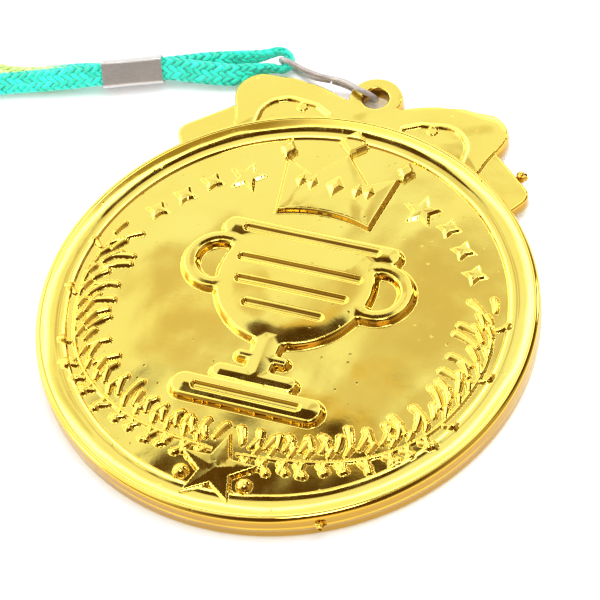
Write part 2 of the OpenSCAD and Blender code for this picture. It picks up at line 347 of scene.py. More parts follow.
def d_star(p, at, tips, r, inner):
    """Distance to the outline of a star, and how far its middle lies inside that outline."""
    x, y = p[:, 0] - at[0], p[:, 1] - at[1]
    half = math.pi / tips
    a = np.abs((np.arctan2(x, y) + half) % (2 * half) - half)
    q = np.hypot(x, y)
    tip, notch = np.array([r, 0]), inner * np.array([math.cos(half), math.sin(half)])
    side = notch - tip
    out = np.array([side[1], -side[0]]) / np.hypot(*side)
    out = out if out @ tip > 0 else -out
    reach = out @ tip
    return q * np.cos(a) * out[0] + q * np.sin(a) * out[1] - reach, reach


def star_height(p, star, foot, peak):
    """A star whose facets rise to ridges from its outline, on a low foot."""
    d, reach = d_star(p, *star)
    return np.where(d < 0, foot * ramp(-d / 0.22) + (peak - foot) * np.clip(-d / reach, 0, 1), 0)


STARS = [((14.15, 22.3), 5, 3.2, 1.4)]
STARS += [(at, 4, 2.0, 1.0) for at in ((19.1, 20.1), (22.4, 16.5), (25.4, 12.6))]
STAR_HEIGHTS, BIG_STAR_HEIGHTS = (0.5, 0.54), (0.7, 0.74)  # foot and peak
BIG_STAR = (0, -29.8), 5, 6.6, 2.7
ROUND_BIG_STAR = (0, -29.8), 5, 7.1, 2.9  # the ground kept clear for it


def leaf_height(p, base, angle, length, width, height):
    """A bean of a leaf: a little thinner at its stalk, round at its tip, smoothly domed."""
    c, s = math.cos(angle), math.sin(angle)
    x, y = (p - base).T
    u, v = x * c + y * s, y * c - x * s
    v = v - 0.05 * (u - length / 2) ** 2 + 0.15
    thin, thick = 0.3 * width, 0.5 * width
    r = thin + (thick - thin) * np.clip(u / (length - thick), 0, 1)
    off = np.minimum(np.hypot(u - np.clip(u, thin, length - thick), v) / r, 1)
    return np.where(off < 1, height * (0.7 + 0.3 * r / thick) * (1 - off**2) ** 0.8, 0)


def at_polar(r, a):
    """Point at a radius and at an angle, in degrees, round from the bottom of the disc."""
    return np.array([r * math.sin(math.radians(a)), -r * math.cos(math.radians(a))])


def stem_radius(a):
    """Radius of a branch's stem at an angle from the bottom of the disc."""
    return 26.6 + 5.0 * ramp((a - 6) / 58) - 1.6 * ramp((a - 84) / 24)


BRANCH_START, BRANCH_END = 4, 101  # degrees round from the bottom of the disc


def branch_leaves():
    """(base, angle, length, width, height) of each leaf on the right-hand branch."""
    rng = np.random.default_rng(7)
    leaves = []

    def leaf(a, r, lean, length, width):
        """Lean 0 points at the middle of the disc and a negative lean points up along the branch."""
        heading = math.radians(a + 90 + lean + rng.uniform(-12, 12))
        leaves.append((at_polar(r, a), heading, length * rng.uniform(0.85, 1.15), width, 0.48))

    for i in range(17):
        a = 5 + 5.6 * i + rng.uniform(-0.8, 0.8)
        stem, side = stem_radius(a), ramp(a / 75)
        tilt = -6 - 26 * side
        leaf(a, stem - 1.5, tilt + 14, 3.5 + 1.2 * side, 1.45)
        leaf(a + 1.9, stem - 1.2, tilt - 22, 3.1 + 0.7 * side, 1.4)
        leaf(a + 3.7, stem - 0.2, tilt - 30, 2.3, 1.2)
        if a < 55:
            leaf(a + 0.6, stem + 0.2, 212, 3.0, 1.4)
            leaf(a + 3.4, stem + 0.3, 158, 2.7, 1.4)
        elif i % 3 == 1:
            leaf(a + 2, stem + 0.2, 222, 2.4, 1.1)
    leaf(BRANCH_END, 29.6, -46, 4.0, 1.3)
    leaf(BRANCH_END + 1, 31.0, -84, 3.4, 1.2)
    return leaves


LEAVES = branch_leaves()


def stem_height(p):
    """The thin raised stem of a branch."""
    a = np.degrees(np.arctan2(p[:, 0], -p[:, 1]))
    across = (np.hypot(*p.T) - stem_radius(a)) / 0.34
    return np.where((a > BRANCH_START) & (a < BRANCH_END), 0.28 * np.clip(1 - across**2, 0, 1), 0)


GEMS = (
    ((0, 32.4), 2.3, 2.4, 0.8, 1.0, 0.3), ((9.6, 29), 1.4, 1.8, 0.7, 1.0, 0.4),
    ((0, 23.2), 1.55, 2.1, 0.88, 1.3, 0.7),
    ((3.6, 23.1), 0.9, 1.5, 0.88, 1.3, 1), ((5.5, 23.2), 0.9, 1.5, 0.88, 1.3, 1),
)


def relief(p):
    """Height of everything raised on the field, which is the same on both sides of the middle."""
    q = fold(p)
    h = np.zeros(len(p))

    def raise_by(at, reach, shape, *sizes):
        """Adds a shape, which is looked for only this far each way from a point."""
        k = np.flatnonzero((np.abs(q[:, 0] - at[0]) < reach) & (np.abs(q[:, 1] - at[1]) < reach))
        if len(k):
            h[k] = np.maximum(h[k], shape(q[k], *sizes))

    raise_by((0, -2), 21, cup_height)
    raise_by((0, 23), 12, crown_height)
    for gem in GEMS:
        raise_by(gem[0], 4, gem_height, *gem)
    for star in STARS:
        raise_by(star[0], 4, star_height, star, *STAR_HEIGHTS)
    raise_by((20, -15), 25, stem_height)
    for leaf in LEAVES:
        base, angle, length = leaf[:3]
        middle = base + length / 2 * np.array([math.cos(angle), math.sin(angle)])
        raise_by(middle, length / 2 + 1, leaf_height, *leaf)
    return h


def relief_edges():
    """Distances to the edges along which the relief's points are lined up."""
    edges = []

    def line_up(distance, *sizes, insets=(0,)):
        edges.extend(lambda p, inset=inset: distance(fold(p), *sizes) + inset for inset in insets)

    for distance in (d_cup, d_crown):
        line_up(distance, insets=(0, 0.14, 0.3, 0.5))
    for y, length in CUP_GROOVES:
        line_up(d_bar, (0, y), length, GROOVE_W)
    for star in (BIG_STAR, *STARS):
        line_up(lambda p, *star: d_star(p, *star)[0], *star, insets=(0, 0.22))
    return edges


def face_height(p):
    """Height of the face over the disc."""
    r = np.hypot(*p.T)
    h = rim_height(r) + np.where(r < DISC_R - EDGE_R, relief(p), 0)
    big_star = star_height(p, BIG_STAR, *BIG_STAR_HEIGHTS)
    h = np.maximum(h, np.where(big_star > 0, FIELD_Z + 0.1 + big_star, 0))
    off = d_circle(fold(p), BEAD_AT, 0) / BEAD_R
    bead = FIELD_Z + 0.2 + 0.85 * np.sqrt(np.maximum(1 - off**2, 0))
    h = np.maximum(h, np.where(off < 1, bead, 0))
    wave = 0.03 * noise2(p, 3, 17) + 0.007 * noise2(p, 4, 6)
    return h + wave * ramp((DISC_R - 0.4 - r) / 3)


def face_slope(p):
    """The face's height with its edge carried on outward, so that slopes can be taken at the rim."""
    return face_height(p) - 6 * np.maximum(np.hypot(*p.T) - DISC_R, 0)


# --- Filling an outline with points, closer together where the height bends ---

def wider(mask, by):
    """The mask grown by a number of cells each way."""
    for _ in range(2):
        grown = mask.copy()
        for s in range(1, by + 1):
            grown[s:] |= mask[:-s]
            grown[:-s] |= mask[s:]
        mask = grown.T
    return mask


def spread_points(low, high, pitch, height, keep, edges=()):
    """Grid points over a rectangle, all of them where the height bends and fewer where it is flat,
    with those beside an edge moved onto it."""
    nx, ny = (int((b - a) / pitch // 8 * 8) + 9 for a, b in zip(low, high))
    i, j = np.meshgrid(np.arange(nx), np.arange(ny), indexing="ij")
    p = np.stack([low[0] + pitch * i.ravel(), low[1] + pitch * j.ravel()], 1)
    h = height(p).reshape(nx, ny)
    bend = np.zeros((nx, ny))
    bend[1:-1] += np.abs(h[2:] - 2 * h[1:-1] + h[:-2])
    bend[:, 1:-1] += np.abs(h[:, 2:] - 2 * h[:, 1:-1] + h[:, :-2])
    wanted = bend > 0.006
    chosen = wider(wanted, 1) | ((i % 8 == 0) & (j % 8 == 0))
    for every, by in ((2, 3), (4, 6)):
        chosen |= wider(wanted, by) & (i % every == 0) & (j % every == 0)
    p = p[chosen.ravel()]
    for distance in edges:
        d = distance(p)
        near = np.flatnonzero(np.abs(d) < 0.55 * pitch)
        g = [distance(p[near] + step) - distance(p[near] - step) for step in ([0.02, 0], [0, 0.02])]
        p[near] -= d[near, None] * np.clip(np.stack(g, 1) / 0.04, -1, 1)
    return p[keep(p)]


def triangulate(points, loops, keep):
    """Delaunay triangles of the points that respect the loops; keep tells by their middles which stay."""
    edges = []
    start = len(points)
    for loop in loops:
        edges += [(start + k, start + (k + 1) % len(loop)) for k in range(len(loop))]
        start += len(loop)
    every = [Vector(v) for v in np.concatenate([points, *loops])]
    verts, _, faces, *_ = delaunay_2d_cdt(every, edges, [], 0, 1e-5)
    at = np.array(verts)
    tri = np.array([f for f in faces if len(f) == 3])
    tri = tri[keep(at[tri].mean(1))]
    used, tri = np.unique(tri, return_inverse=True)
    return at[used], tri.reshape(-1, 3)


def rim_order(tri):
    """The boundary loops of a set of triangles, each in the triangles' own turning direction."""
    pairs = {e: True for a, b, c in tri.tolist() for e in ((a, b), (b, c), (c, a))}
    follow = {a: b for a, b in pairs if (b, a) not in pairs}
    loops = []
    while follow:
        first, nxt = follow.popitem()
        loop = [first]
        while nxt != first:
            loop.append(nxt)
            nxt = follow.pop(nxt)
        loops.append(loop)
    return loops


def flash(turn):
    """How far the seam's flash stands out at a share of the way round."""
    return 0.05 + 0.05 * np.maximum(noise1(turn, 11), -0.6)


def add_posts(build, profile, count):
    """The same round post at four places round the middle."""
    for a in np.radians([45, 135, 225, 315]):
        at = [PEG_RING_R * math.cos(a), PEG_RING_R * math.sin(a), 0]
        build.grid([ring + at for ring in circle_rows(profile, count)], capped=True)


def make_disc_front(build):
    """The face of the disc with its relief, its side wall, and the shallow cavity behind it."""
    ring_r = [DISC_R - EDGE_R + EDGE_R * math.sin(math.radians(x)) for x in (0, 15, 30, 45, 60, 73, 83)]
    ring_r += [36.4, 36.0, 35.5, 35.1, 34.7, 34.3, 33.8, 33.3]
    ring_r += [STEP_R + x for x in (0.2, 0.06, -0.06, -0.2)]
    rings = np.concatenate([r * circle(AROUND) for r in ring_r])
    clear = (relief(rings) < 0.01) & (d_star(rings, *ROUND_BIG_STAR)[0] > 0)
    rings = rings[clear | (np.hypot(*rings.T) > 36)]

    def keep(p):
        """The rings fill the band, except where something is raised on it."""
        r = np.hypot(*p.T)
        raised = (relief(p) > 0.005) | (d_star(p, *ROUND_BIG_STAR)[0] < 0)
        raised |= d_circle(fold(p), BEAD_AT, BEAD_R + 0.25) < 0
        return (r < GRID_R) | ((r < RING_R) & raised)

    span = DISC_R + 0.3
    inner = spread_points((-span, -span), (span, span), FACE_PITCH, face_height, keep, relief_edges())
    edge = DISC_R * circle(AROUND)
    at, tri = triangulate(np.concatenate([rings, inner]), [edge], lambda c: np.hypot(*c.T) < DISC_R)
    build.shaded.append((len(build.faces), len(tri), build.count, slopes(face_slope, at)))
    around = np.array(rim_order(tri)[0])
    angle = np.arctan2(*at[around].T[::-1])
    way = np.stack([np.cos(angle), np.sin(angle)], 1)
    walls = [
        np.column_stack([(r + share * flash(angle / TAU))[:, None] * way, np.full(len(angle), height)])
        for r, height, share in (
            (DISC_R, 3.3, 0), (DISC_R - 0.03, 2.8, 0), (DISC_R - 0.03, 2.5, 0), (DISC_R, 2.42, 0.7),
            (DISC_R, SEAM_Z + 0.05, 1), (DISC_R, SEAM_Z, 1), (DISC_R - 0.25, SEAM_Z, 0),
            (CAVITY_R, SEAM_Z, 0), (CAVITY_R, CEILING_Z - 0.1, 0), (CAVITY_R - 0.2, CEILING_Z, 0),
            (CAVITY_R / 2, CEILING_Z, 0),
        )
    ]
    n = len(around)
    levels = [around] + [len(at) + i * n + np.arange(n) for i in range(len(walls))]
    faces = tri.tolist() + strips(levels)
    centre = len(at) + len(walls) * n
    faces += zip(np.roll(levels[-1], -1), levels[-1], [centre] * n)
    build.add(np.concatenate([np.column_stack([at, face_height(at)]), *walls, [[0, 0, CEILING_Z]]]), faces)
    add_posts(build, [(0.9, 1.3), (PEG_R, 1.5), (PEG_R, CEILING_Z + 0.2)], 32)


# --- Bow hanger ---

def both(loop):
    """An outline and its mirror image, both turning the same way."""
    return loop, (loop * [-1, 1])[::-1]


def outward(loop):
    """Unit normals along an outline, on its right-hand side."""
    along = np.roll(loop, -1, axis=0) - np.roll(loop, 1, axis=0)
    return unit(np.stack([along[:, 1], -along[:, 0]], 1))


LOOP_OUTLINE = [(-1, 30), (-1, 42), (4.6, 42), (7.6, 43.2), (10.6, 44), *arc((14.4, 35.5), 8.9, 108, 78, 3)]
LOOP_OUTLINE += [*arc((18, 39.7), 4.7, 74, 0, 10), (22.3, 38), (21.4, 36.4), (20.6, 34), (20.3, 32)]
TAIL_OUTLINE = [(10, 30), (21, 37.5), (22.6, 36), *arc((26.4, 29.6), 2.3, 45, -40, 8), (26.8, 26), (20, 20)]
OPENING = [(6.2, 37.9), (8.6, 39.2), *arc((12.6, 35.2), 4.5, 105, 10, 10), (16.9, 30), (6.2, 30)]


def rounded_outline(corners):
    """The same outline with its corners eased, in points about half a millimetre apart."""
    c = np.asarray(corners, float)
    out = []
    for a, b in zip(c, np.roll(c, -1, axis=0)):
        n = max(1, round(np.linalg.norm(b - a) / 0.5))
        out += [a + (b - a) * k / n for k in range(n)]
    out = np.array(out)
    for _ in range(2):
        out = (np.roll(out, 1, axis=0) + 2 * out + np.roll(out, -1, axis=0)) / 4
    return out


LOOPS, TAILS = rounded_outline(LOOP_OUTLINE), rounded_outline(TAIL_OUTLINE)
DISC_UNDER_R = DISC_R - 0.4  # the hanger starts just inside the disc


def bow_edge(p):
    """Distance to the hanger's outline or to its hole, negative in the plastic."""
    q = fold(p)
    lobes = np.minimum(np.minimum(d_poly(q, LOOPS), d_circle(p, EYE, EYE_R)), d_poly(q, TAILS))
    return np.maximum(lobes, -d_circle(p, EYE, EYE_HOLE_R))


def bow_height(p):
    """Height of the hanger's front: flat tails, and puffed loops with an opening pressed into them."""
    q = fold(p)
    loops, opening = np.minimum(d_poly(q, LOOPS), d_circle(p, EYE, EYE_R)), d_poly(q, OPENING)
    raised = ramp(-loops / 0.3)
    puff = 0.16 * (1 - np.exp(np.minimum(loops + 0.4, 0) / 2.6)) * ramp(d_circle(p, EYE, EYE_HOLE_R) / 4)
    h = TAIL_Z + 0.05 + (LOOP_Z - TAIL_Z - 0.1 + puff) * raised
    h = h - 0.34 * ramp(-opening / 0.36) + 0.05 * np.exp(-((opening - 0.1) / 0.3) ** 2) * raised
    h = h + 0.24 * ramp((0.95 - d_circle(q, (10.8, 38.6), 0)) / 0.3)
    h = h + 0.02 * noise2(p, 5, 11) + 0.004 * noise2(p, 6, 4)
    edge = 0.32
    near = np.clip(1 + bow_edge(p) / edge, 0, 1)
    return h - edge * (1 - np.sqrt(1 - near**2))


def bow_outlines():
    """Every loop that bounds the hanger in plan: its four lobes, the eyelet, its hole and the disc."""
    round_eye = [EYE + r * circle(96) for r in (EYE_R, EYE_HOLE_R)]
    return [*both(LOOPS), *both(TAILS), *round_eye, DISC_UNDER_R * circle(AROUND)]


def in_bow(p):
    """Which points are in the hanger but not in the disc."""
    return (bow_edge(p) < 0) & (np.hypot(*p.T) > DISC_UNDER_R)


def make_bow(build, front):
    """Half of the hanger: the front with its puffed loops, or the flat back."""
    if front:
        rows = []
        for loop in bow_outlines()[:6]:
            for inset in (0.04, 0.12, 0.24, 0.36):
                rows += [loop + x * outward(loop) for x in (inset, -inset)]
        rows = np.concatenate(rows)
        rows = rows[in_bow(rows) & (bow_edge(rows) < -0.03)]
        inner = spread_points((-30, 20), (30, 49), FACE_PITCH, bow_height, in_bow)
        points = np.concatenate([rows, inner[bow_edge(inner) < -0.42]])
    else:
        x, y = np.meshgrid(np.arange(-29, 30, 1.5), np.arange(21, 49, 1.5))
        points = np.stack([x.ravel(), y.ravel()], 1)
        points = points[in_bow(points)]
    at, tri = triangulate(points, bow_outlines(), in_bow)
    n, turned = len(at), tri[:, ::-1]
    if front:
        z, walls = bow_height(at), [(SEAM_Z + 0.3, 0)]
        build.shaded.append((len(build.faces), len(tri), build.count, slopes(bow_height, at)))
        faces = [*tri.tolist(), *(turned + n).tolist()]
    else:
        z, walls = np.full(n, BOW_Z), [(BOW_Z + 0.12, 0.1), (SEAM_Z - 0.2, 0)]
        faces = [*turned.tolist(), *(tri + n).tolist()]
    points = [np.column_stack([at, z]), np.column_stack([at, np.full(n, SEAM_Z)])]
    start = 2 * n
    for loop in map(np.array, rim_order(tri)):
        ring, levels = at[loop], [loop]
        for height, bulge in walls:
            points.append(np.column_stack([ring + outward(ring) * bulge, np.full(len(loop), height)]))
            levels.append(start + np.arange(len(loop)))
            start += len(loop)
        faces += [quad if front else quad[::-1] for quad in strips([*levels, loop + n])]
    build.add(np.concatenate(points), faces)


def lump(build, at, size, seed):
    """A rough broken-off nub where the plastic was fed into the mould."""
    rng = np.random.default_rng(seed)
    rows = []
    for t in np.linspace(0.12, math.pi - 0.12, 9):
        r = size * (1 + 0.28 * rng.standard_normal(16))
        rows.append(np.column_stack([(r * np.sin(t))[:, None] * circle(16), -r * 0.8 * np.cos(t)]) + at)
    build.grid(rows, capped=True)


def make_front_shell(gold):
    """The relief face with its half of the hanger, its pegs and the nubs left on its edge."""
    build = Build()
    make_disc_front(build)
    make_bow(build, True)
    for r, angle, seed in ((DISC_R + 0.1, -63.5, 21), (42.9, 51.6, 22)):
        a = math.radians(angle)
        lump(build, [r * math.cos(a), r * math.sin(a), SEAM_Z + 0.5], 0.75, seed)
    piece = build.object("front_shell_plated", gold, sharp=50)
    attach(piece, "medal")
    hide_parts("front_shell")


def make_back_shell(gold):
    """The plain underside with its rolled rim, and the sockets for the front's pegs."""
    build = Build()
    under = [(12, 0.0), (24, 0.0), (34.6, 0.0), (34.75, 0.12), (35.05, 0.12), (35.2, 0.0)]
    under += [
        (DISC_R - EDGE_R + EDGE_R * math.sin(x), EDGE_R - EDGE_R * math.cos(x))
        for x in (0, 0.26, 0.52, 0.79, 1.05, 1.31)
    ]
    side = [(DISC_R, EDGE_R), (DISC_R, 1.5), (DISC_R, 2.1)]
    seam = [(DISC_R, 2.2), (DISC_R, SEAM_Z)]
    inside = [(CAVITY_R, SEAM_Z), (CAVITY_R, FLOOR_Z + 0.1), (CAVITY_R - 0.2, FLOOR_Z), (12, FLOOR_Z)]
    rows = circle_rows([*under, *side, *seam, *inside], AROUND)
    for ring in rows[-len(seam + inside):-len(inside)]:
        ring[:, :2] *= (1 + flash(np.arange(AROUND) / AROUND) / DISC_R)[:, None]
    build.grid(rows)
    build.faces = [f[::-1] for f in build.faces]
    first, last = np.arange(AROUND), (len(rows) - 1) * AROUND + np.arange(AROUND)
    low, high = len(rows) * AROUND, len(rows) * AROUND + 1
    build.add([[0, 0, 0], [0, 0, FLOOR_Z]], [])
    build.faces += zip([low] * AROUND, np.roll(first, -1).tolist(), first.tolist())
    build.faces += zip(last.tolist(), np.roll(last, -1).tolist(), [high] * AROUND)
    make_bow(build, False)
    boss_z, bore_r = SEAM_Z - 0.05, PEG_R + 0.1
    add_posts(build, [(BOSS_R, FLOOR_Z - 0.3), (BOSS_R, boss_z), (bore_r, boss_z), (bore_r, 1.25)], 40)
    piece = build.object("back_shell_plated", gold, sharp=50)
    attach(piece, "medal")
    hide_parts("back_shell")


# --- Wire link ---

LINK_AT = 0, EYE[1] + 0.7, 2.5
LINK_LIES, LINK_ROLL = -13.5, 118  # degrees in plan and about its own length
LINK_REACH, WIRE_R = 2.7, 0.45


def sweep(build, path, radius, sides):
    """A round wire along a path, without twist, its two cut ends eased."""
    ahead = np.roll(path, -1, axis=0) - np.roll(path, 1, axis=0)
    ahead[0], ahead[-1] = path[1] - path[0], path[-1] - path[-2]
    ahead = unit(ahead)
    side = unit(np.cross(ahead[0], [0.13, 0.31, 0.94]))
    rows = []
    for p, t in zip(path, ahead):
        side = unit(side - (side @ t) * t)
        rows.append(p + radius * circle(sides) @ np.stack([side, np.cross(t, side)]))
    first = path[0] - ahead[0] * radius * 0.12 + (rows[0] - path[0]) * 0.72
    last = path[-1] + ahead[-1] * radius * 0.12 + (rows[-1] - path[-1]) * 0.72
    build.grid([first, *rows, last], capped=True)


def link_path():
    """The link's centreline: two round ends, and strands between that come together, bent by hand."""
    length, end_r, waist, neck, gap = 13.2, 2.3, 0.5, 5.9, 0.03
    slant = math.pi / 2 - math.atan2(waist, neck) - math.acos(end_r / math.hypot(neck, waist))
    turn = math.pi / 2 + slant
    half = arc((0, 0), end_r, 0, math.degrees(turn), 27)
    x, y = half[-1]
    half += [(x + (-neck - x) * k / 12, y + (waist - y) * k / 12) for k in range(1, 12)]
    half = np.array(half + [(-neck - 0.12, waist + 0.02), (-length / 2 + 0.15, waist)])
    upper = np.concatenate([half, (half * [-1, 1] - [length, 0])[::-1]])
    lower = (upper * [1, -1])[::-1][1:-1]
    path = np.roll(np.concatenate([upper, lower]), -(len(upper) + len(lower) // 2 + 1), axis=0)
    butt = math.copysign(gap / 2, path[0, 0] - path[-1, 0])
    path[0, 0] += butt
    path[-1, 0] -= butt
    u = np.clip(-path[:, 0] / length, 0, 1)
    arch = -0.1 * np.sin(np.pi * u) - 0.32 * np.sin(2 * np.pi * u)
    apart = 0.1 * np.clip(path[:, 1] / waist, -1, 1) * np.sin(np.pi * u)
    return np.column_stack([path, arch - apart])


def make_link(nickel):
    """The link through the eyelet, lying toward the strap and rolled half on its edge."""
    place = np.array(
        Matrix.Translation(LINK_AT) @ Matrix.Rotation(math.radians(LINK_LIES), 4, "Z")
        @ Matrix.Rotation(math.radians(LINK_ROLL), 4, "X") @ Matrix.Translation((-LINK_REACH, 0, 0))
    )
    build = Build()
    sweep(build, link_path() @ place[:3, :3].T + place[:3, 3], WIRE_R, 20)
    piece = build.object("wire_link_nickel", nickel, sharp=50)
    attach(piece, "link")
    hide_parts("wire_link")


# --- Strap: the routes are those of the part ---

# Stations: x, y, z, roll and plan angle in degrees, and the width as a share of the braid's.
LOOP_ROUTE = [
    (-40.4, 39.55, 3.25, 49, 111, 1), (-35.9, 41.25, 3.25, 49, 111, 1), (-32.9, 42, 3, 46, 107, 1),
    (-30, 42.45, 2.7, 42, 103, 1), (-27.1, 43, 2.45, 42, 100, 1), (-24.4, 43.6, 2.3, 48, 98, 0.95),
    (-22.3, 44.9, 2.1, 64, 92, 0.82), (-20.6, 46, 1.95, 88, 86, 0.66), (-19.2, 46.7, 1.9, 106, 80, 0.57),
    (-18.1, 46.8, 1.85, 118, 76.5, 0.53), (-17, 46.95, 2.05, 118, 76.5, 0.53),
    (-16.25, 47.65, 2.45, 118, 76.5, 0.53), (-16.4, 48.5, 2.9, 118, 76.5, 0.53),
    (-17.3, 49.3, 3.25, 118, 76.5, 0.53), (-18.8, 49.4, 3.15, 112, 78, 0.55),
    (-20.9, 48.5, 2.75, 100, 82, 0.62), (-23.6, 47.4, 2.45, 78, 88, 0.8),
    (-26.6, 46.1, 2.3, 56, 96, 0.95), (-30, 44.9, 2.2, 48, 103, 1), (-33.3, 43.55, 2.2, 48, 108, 1),
    (-36.3, 42.3, 2.25, 49, 111, 1), (-40.8, 40.6, 2.25, 49, 111, 1),
]
GREEN_ROUTE = [
    (-40.7, 39.5, 3.25, 49, 111, 1), (-45.3, 37.75, 3.25, 49, 111, 1), (-50, 36.1, 3, 43, 109, 1),
    (-55, 34.7, 2.5, 35, 107, 1), (-60, 33.3, 2.1, 30, 107, 1), (-65, 31.6, 1.9, 20, 109, 1),
    (-70, 29, 1.6, 8, 118, 1), (-76, 24.4, 1.3, 0, 128, 1), (-81, 19, 1.3, 0, 136, 1),
    (-86, 12.4, 1.3, 0, 139, 1), (-91.5, 5.6, 1.3, 0, 134, 1), (-98.5, -2.2, 1.3, 0, 121, 1),
]
YELLOW_ROUTE = [
    (-41.2, 40.45, 2.25, 49, 111, 1), (-45.7, 38.75, 2.25, 49, 111, 1), (-50, 37.9, 1.9, 36, 106, 1),
    (-55, 36.9, 1.3, 16, 101, 1), (-60, 36.2, 0.8, 2, 96, 1), (-66, 36.2, 0.8, 0, 86, 1),
    (-73, 38, 0.8, 0, 72, 1), (-80, 41.2, 0.9, 0, 64, 1), (-87, 44.6, 1.4, 0, 65, 1),
    (-95, 47.4, 2.3, 0, 75, 1), (-103, 48.3, 3, 0, 88, 1),
]


def stations(route, turn=1.0):
    """(middles, directions across, width shares) of a route's stations."""
    r = np.array(route, float)
    roll, angle = np.radians(r[:, 3]), np.radians(r[:, 4])
    across = np.stack([np.cos(roll) * np.cos(angle), np.cos(roll) * np.sin(angle), np.sin(roll)], 1)
    return r[:, :3], turn * across, r[:, 5]


def coil_stations():
    """The turns that are put away: in along the lower layer, and out along the upper one."""
    t = np.linspace(0, 1, round(COIL_TURNS * 24) + 1)
    a = COIL_START - TAU * COIL_TURNS * t
    r = COIL_INNER + (COIL_OUTER - COIL_INNER) * np.abs(1 - 2 * t)
    z = COIL_LOW_Z + (COIL_HIGH_Z - COIL_LOW_Z) * ramp((t - 0.44) / 0.12)
    out = np.stack([np.cos(a), np.sin(a), np.zeros(len(a))], 1)
    return COIL_AT + r[:, None] * out + z[:, None] * [0, 0, 1], -out, np.ones(len(a))


def smooth_run(parts, step):
    """One even run of points through several lists of stations."""
    every = np.hstack([np.concatenate(x).reshape(-1, w) for x, w in zip(zip(*parts), (3, 3, 1))])
    fine = []
    for i in range(len(every) - 1):
        a, b, c, d = every[np.clip(range(i - 1, i + 3), 0, len(every) - 1)]
        t = np.linspace(0, 1, 12, endpoint=False)[:, None]
        curve = 2 * b + (c - a) * t + (2 * a - 5 * b + 4 * c - d) * t**2 + (3 * b - a - 3 * c + d) * t**3
        fine.append(curve / 2)
    fine = np.concatenate([*fine, every[-1:]])
    along = np.concatenate([[0], np.cumsum(np.linalg.norm(np.diff(fine[:, :3], axis=0), axis=1))])
    s = np.linspace(0, along[-1], round(along[-1] / step) + 1)
    even = np.stack([np.interp(s, along, column) for column in fine.T], 1)
    ahead = unit(np.gradient(even[:, :3], axis=0))
    side = even[:, 3:6] - (even[:, 3:6] * ahead).sum(1, keepdims=True) * ahead
    return s, even[:, :3], unit(side), unit(np.cross(ahead, side)), even[:, 6]


def stadium(phase, w, t):
    """Points and outward normals round a flat section with round edges; phase 0 to 1 is once round."""
    straight, bend, r = np.maximum(w - t, 0.05), math.pi * t / 2, t / 2
    s = (phase % 1) * 2 * (straight + bend)
    half = s >= straight + bend  # the lower side, then the left-hand edge
    s = s - half * (straight + bend)
    a = np.maximum(s - straight, 0) / r
    nx, ny = np.sin(a), np.cos(a)
    x, y = np.minimum(s, straight) - straight / 2 + r * nx, r * ny
    turn = np.where(half, -1, 1)
    return turn * x, turn * y, turn * nx, turn * ny


def make_braid(name, parts, step, material, seed):
    """A flat tubular braid of sixteen strands, two over and two under, round a soft core."""
    carriers, rise, thick, wide, lay = 16, 0.13, 0.3, 0.86, 11.0
    s, at, side, up, share = smooth_run(parts, step)
    each = carriers // 2
    w, t = BRAID_W * share - 2 * rise - thick, BRAID_T - 2 * rise - thick
    rng = np.random.default_rng(seed)
    knots = np.arange(0, s[-1] + 6, 3)
    build, marks = Build(), []
    for way in (1, -1):
        for k in range(each):
            drift = 0.012 * np.interp(s, knots, rng.standard_normal(len(knots)))
            lift = way * rise * np.cos(TAU * (2 * k + way * carriers * s / lay - 0.5) / 4)
            x, y, nx, ny = stadium(k / each + way * s / lay + drift, w, t)
            path = at + (x + lift * nx)[:, None] * side + (y + lift * ny)[:, None] * up
            normal = unit(nx[:, None] * side + ny[:, None] * up)
            flat = unit(np.cross(unit(np.gradient(path, axis=0)), normal))
            half = wide / 2 * (1 + 0.05 * rng.standard_normal())
            corners = (half * flat, thick / 2 * normal, -half * flat, -thick / 2 * normal)
            build.grid(np.stack([path + c for c in corners], 1), capped=True)
            across = np.tile([half, 0, -half, 0], len(s))
            marks.append(np.column_stack([np.repeat(s, 4), across, np.full(4 * len(s), rng.random() + k)]))
    core = slice(0, None, max(1, round(1.6 / step)))
    rows = []
    for p, d, u, width in zip(at[core], side[core], up[core], w[core]):
        x, y, _, _ = stadium(np.arange(10) / 10, width - 0.1, t - 0.1)
        rows.append(p + np.outer(x, d) + np.outer(y, u))
    build.grid(rows, capped=True)
    marks.append(np.column_stack([np.repeat(s[core], 10), np.tile([0, 0.5], (10 * len(rows), 1))]))
    piece = build.object(name, material)
    thread = piece.data.attributes.new("thread", "FLOAT_VECTOR", "POINT")
    thread.data.foreach_set("vector", np.concatenate(marks).astype(np.float32).ravel())
    return piece, at * MM


def make_strap(neck_braid, hook_braid):
    """The long braid, which comes back to its ferrule, and the short loop that holds the link."""
    parts = [stations(GREEN_ROUTE), coil_stations(), tuple(x[::-1] for x in stations(YELLOW_ROUTE, -1.0))]
    neck, path = make_braid("neck_strap", parts, 0.55, neck_braid, 31)
    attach(neck, "strap")
    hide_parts("strap_leg_green", "strap_leg_yellow", "strap_coil")
    loop, path = make_braid("hook_loop", [stations(LOOP_ROUTE)], 0.3, hook_braid, 32)
    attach(loop, "strap")
    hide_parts("strap_loop")


